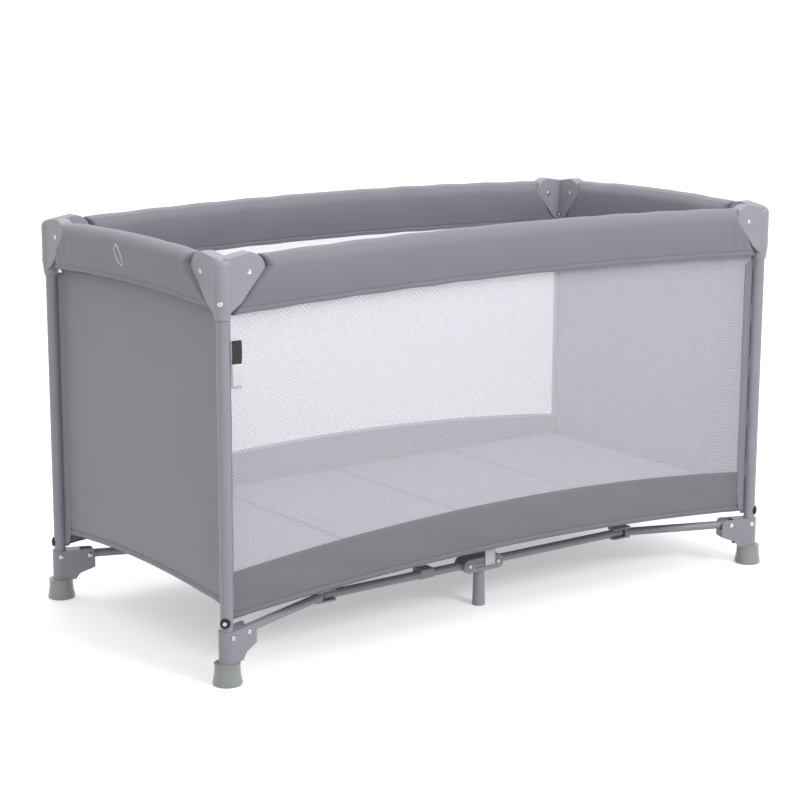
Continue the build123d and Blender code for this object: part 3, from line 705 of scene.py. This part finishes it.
def cloth_band(half, low_of, high_of, rows, billow):
    """A cloth panel in its side's own frame with a rolled hem along its lower edge."""
    heights = hem_rows
    plain = rows - (len(heights) - 1)

    def shape(u, v):
        x = (2 * u - 1) * half
        z_low, z_high = low_of(x), high_of(x)
        row = round(v * rows)
        if row < len(heights):
            height = heights[row]
        else:
            share = (row - len(heights) + 1) / plain
            height = heights[-1] + (z_high - z_low - heights[-1]) * share
        share = height / (z_high - z_low)
        y = wall_inset - 0.0012 - hem_bulge(height)
        y -= billow * sin(pi * share) * arch(x, half)
        corner_pull = exp(-hypot(half - abs(x), height) / 0.06)
        y -= 0.0014 * corner_pull * sin(90 * (half - abs(x)) - 160 * height)
        y -= 0.0006 * sin(pi * share) * sin(2 * pi * x / 0.21 + 9 * share)
        return x, y, z_low + height

    span = high_of(0) - low_of(0)
    return cloth_grid(max(round(half / 0.008), 8) * 2, rows, (2 * half, span), shape)


def solid_cloth(piece, thickness):
    """Give a sheet its thickness, inwards from its outer face."""
    thicken = piece.modifiers.new("thickness", "SOLIDIFY")
    thicken.thickness, thicken.offset = thickness, 0
    bpy.context.view_layer.update()
    graph = bpy.context.evaluated_depsgraph_get()
    made = bpy.data.meshes.new_from_object(piece.evaluated_get(graph))
    piece.modifiers.clear()
    piece.data = made
    return piece


def fold_x(piece):
    """Give a cloth its own mesh; it is not flattened as the frame folds."""
    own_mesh(piece)


def fold_y(piece):
    """Give a cloth its own mesh; it is not flattened as the frame folds."""
    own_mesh(piece)


wall_leg = {"front": "leg_fl", "back": "leg_bl", "left": "leg_fl", "right": "leg_fr"}
for side in ("front", "back"):
    high = band_heights[side]
    low_of = lambda x: long_low + long_arch * arch(x, wall_half_long)
    high_of = lambda x: low_of(x) + high + 0.007 * arch(x, wall_half_long)
    bm = net_wall(side, lambda x: high_of(x) - 0.006)
    wall = make_piece(bm, f"net_wall_{side}", net, side_place(side))
    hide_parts(f"wall_{side}")
    bm = cloth_band(wall_half_long, low_of, high_of, 24, 0.003)
    band = make_piece(bm, f"wall_band_{side}", band_oxford, side_place(side))
    solid_cloth(band, 0.0010)
    for piece, slot in ((wall, "mesh_wall"), (band, "end_fabric")):
        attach(piece, wall_leg[side])
        fold_x(piece)


# --- End walls: the sleeves' polyester oxford in one panel each, painted a little lighter ---
# than on the sleeves as painted light, drawn tight between the legs, with a rolled and stitched hem
# that arches up in the middle.
end_half, end_low, end_arch = leg_y - wall_inset - 0.0016, 0.128, 0.015
for side in ("left", "right"):
    facts = sides[side]
    low_of = lambda x: end_low + end_arch * arch(x, end_half)
    high_of = lambda x: sleeve_top - facts["deep"] + 0.003 + facts["rise"] * arch(x, end_half)
    bm = cloth_band(end_half, low_of, high_of, 60, 0.004)
    panel = make_piece(bm, f"end_wall_{side}", panel_oxford_painted_light, side_place(side))
    solid_cloth(panel, 0.0010)
    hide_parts(f"wall_{side}")
    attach(panel, wall_leg[side])
    fold_y(panel)


# --- Leg bindings: the walls' corner seam, a folded strip of the same cloth that lies ---
# against each leg from its washer up to the cap.
binding_reach, binding_low, binding_high = 0.0235, 0.104, 0.636
binding_flat = (0.040, binding_high - binding_low)
fold_points = [
    Vector((binding_reach, 0.0138)), Vector((0.0195, 0.0132)), Vector((0.0155, 0.0115)),
    Vector((0.0116, 0.0088)), Vector((0.0086, 0.0078)),
]
fold_points += [Vector((p.y, p.x)) for p in reversed(fold_points)]


def along_fold(share):
    """A point on the binding's cross-section, in the leg's own frame."""
    place = share * (len(fold_points) - 1)
    index = min(int(place), len(fold_points) - 2)
    return fold_points[index].lerp(fold_points[index + 1], place - index)


for corner, (side_x, side_y) in corners.items():
    def shape(u, v):
        spot = along_fold(u)
        swell = 1 + 0.02 * sin(v * 31 + 5 * u)
        lean = 1 - 0.35 * exp(-v / 0.03)
        return spot.x * swell * lean, spot.y * swell * lean, binding_low + binding_flat[1] * v

    bm = cloth_grid(18, 60, binding_flat, shape)
    bmesh.ops.transform(bm, matrix=corner_place(side_x, side_y), verts=bm.verts)
    binding = make_piece(bm, f"leg_binding_{corner}", panel_oxford_painted_light)
    solid_cloth(binding, 0.0012)
    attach(binding, f"leg_{corner}")


# --- Side label: a folded woven tape, black above and white below, caught in the front ---
# left binding. It carries no words.
label_low, label_high, label_left, label_right = 0.512, 0.592, leg_x - 0.0245, leg_x - 0.0425
label_tapes = {"black": ("#201F22", "#2C2B2E", 0.5, 1.0), "white": ("#DEDCE0", "#F2F0F4", 0.0, 0.5)}
for tone_name, (dark, light, from_share, to_share) in label_tapes.items():
    tape, shader = new_material(f"{tone_name}_woven_tape", {"Sheen Weight": 0.2, "IOR": 1.48})
    weave(tape, shader, 0.0012, 0.0001, (dark, light), (0.55, 0.65))
    low_z = label_low + (label_high - label_low) * from_share
    high_z = label_low + (label_high - label_low) * to_share
    label_flat = (label_left - label_right, high_z - low_z)

    def shape(u, v):
        curl = 0.0012 * sin(pi * v) + 0.002 * u * u
        return -label_left + label_flat[0] * u, -leg_y + 0.0112 - curl, low_z + label_flat[1] * v

    bm = cloth_grid(8, 10, label_flat, shape)
    label = make_piece(bm, f"side_label_{tone_name}", tape)
    solid_cloth(label, 0.0006)
    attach(label, "leg_fl")


# --- Floor cloth: grey polyester oxford laced inside the walls, which carries the ---
# mattress. It is in two halves and a middle strip, which part as the base hinges.
floor_low, floor_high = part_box("floor_cloth")
floor_x, floor_y, floor_z = floor_high.x, floor_high.y, (floor_low.z + floor_high.z) / 2
base_oxford, shader = new_material("base_polyester_oxford", {"Sheen Weight": 0.15, "IOR": 1.45})
weave(base_oxford, shader, oxford_thread, 0.00014, ("#6C6A71", "#78767D"), (0.6, 0.7))
middle_strip = 0.035
floor_parts = {
    "floor_cloth_left": (-floor_x, -middle_strip, "base_rail_front_left"),
    "floor_cloth_middle": (-middle_strip, middle_strip, "base_hub_front"),
    "floor_cloth_right": (middle_strip, floor_x, "base_rail_front_right"),
}
for name, (from_x, to_x, body) in floor_parts.items():
    def shape(u, v):
        x, y = from_x + (to_x - from_x) * u, floor_y * (2 * v - 1)
        sag = 0.0022 * arch(x, floor_x) * arch(y, floor_y)
        return x, y, floor_z - sag + 0.0005 * sin(2 * pi * x / 0.16) * sin(2 * pi * y / 0.13)

    columns = max(round((to_x - from_x) / 0.02), 4)
    bm = cloth_grid(columns, 30, (to_x - from_x, 2 * floor_y), shape)
    cloth = make_piece(bm, name, base_oxford)
    solid_cloth(cloth, 0.0016)
    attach(cloth, body)
    fold_y(cloth)
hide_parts("floor_cloth")


# --- Mattress: four stiff panels of foam on board in one quilted cover, crowned a little, ---
# sewn round their edges, with three seams between them where the real mattress folds; here all four
# ride on one body.
pad_low, pad_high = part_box("mattress")
pad_span, pad_gap, pad_round = (pad_high.x - pad_low.x) / 4, 0.003, 0.009
mattress_cover, shader = new_material("mattress_polyester_cover", {"Sheen Weight": 0.2, "IOR": 1.45})
grain(mattress_cover, shader, 0.0016, 0.00015, ("#817F86", "#8E8C93"), (0.6, 0.72))
pad_size = Vector((pad_span - pad_gap, pad_high.y - pad_low.y, pad_high.z - pad_low.z))
pad_middle_z = (pad_low.z + pad_high.z) / 2


def crowd(share):
    """Move a place from -0.5 to 0.5 towards the ends, where the edge curves."""
    return sin(pi * share) / 2


for number in range(4):
    bm = bmesh.new()
    bmesh.ops.create_cube(bm, size=1.0)
    bmesh.ops.subdivide_edges(bm, edges=bm.edges, cuts=27, use_grid_fill=True)
    middle = Vector((pad_low.x + pad_span * (number + 0.5), 0, pad_middle_z))
    for vert in bm.verts:
        spot = Vector([crowd(c) * size for c, size in zip(vert.co, pad_size)])
        core = Vector([
            max(min(c, s / 2 - pad_round), pad_round - s / 2) for c, s in zip(spot, pad_size)
        ])
        out = spot - core
        if out.length > 0:
            spot = core + out.normalized() * pad_round
        along, across = 2 * spot.x / pad_size.x, 2 * spot.y / pad_size.y
        crown = max(1 - along**4, 0) * max(1 - across**4, 0)
        seam = min(abs(abs(spot.x) - pad_size.x / 2 + 0.022), abs(abs(spot.y) - pad_size.y / 2 + 0.022))
        dent = 0.0022 * exp(-((seam / 0.004) ** 2))
        side_pull = 0.0015 * max(1 - (2 * spot.z / pad_size.z) ** 2, 0)
        if spot.z > 0:
            spot.z += 0.0016 * crown - 0.0016 - dent
        spot.x *= 1 - side_pull / pad_size.x * 2
        spot.y *= 1 - side_pull / pad_size.y * 2
        vert.co = spot + middle
    close_shell(bm)
    pad = make_piece(bm, f"mattress_panel_{number + 1}", mattress_cover)
    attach(pad, "mattress")
    if number == 0:
        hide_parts("mattress")


# --- Hub straps: white webbing pull loops over the base hubs, which lift the hubs to ---
# fold the base. Each is one strap with its ends sewn down the hub's two sides.
strap_wide, strap_thick, strap_x = 0.024, 0.0016, 0.0135
webbing, shader = new_material("white_polypropylene_webbing", {"Sheen Weight": 0.2, "IOR": 1.49})
weave(webbing, shader, 0.0022, 0.0003, ("#F3F1F6", "#FBFAFC"), (0.5, 0.6))
strap_inner, strap_round = hub_half + 0.0011, 0.009
strap_foot, strap_top = base_z - 0.004, base_z + 0.0325
strap_line = [Vector((-strap_inner, strap_foot)), Vector((-strap_inner, strap_top - strap_round))]
for step in range(1, 7):
    turn = pi - pi / 2 * step / 6
    strap_line.append(Vector((
        -strap_inner + strap_round + strap_round * cos(turn),
        strap_top - strap_round + strap_round * sin(turn),
    )))
strap_line += [Vector((-p.x, p.y)) for p in reversed(strap_line)]
strap_length = sum((b - a).length for a, b in zip(strap_line, strap_line[1:]))
for side, side_y in (("front", -1), ("back", 1)):
    rows = len(strap_line) - 1

    def shape(u, v):
        spot = strap_line[round(v * rows)]
        bow = 0.0005 * sin(pi * u)
        x = -side_y * (strap_x + strap_wide * (u - 0.5))
        return x, side_y * abs(base_y) + spot.x, spot.y + bow

    bm = cloth_grid(6, rows, (strap_wide, strap_length), shape)
    strap = make_piece(bm, f"pull_strap_{side}", webbing)
    solid_cloth(strap, strap_thick)
    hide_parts(f"hub_strap_{side}")
    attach(strap, f"base_hub_{side}")
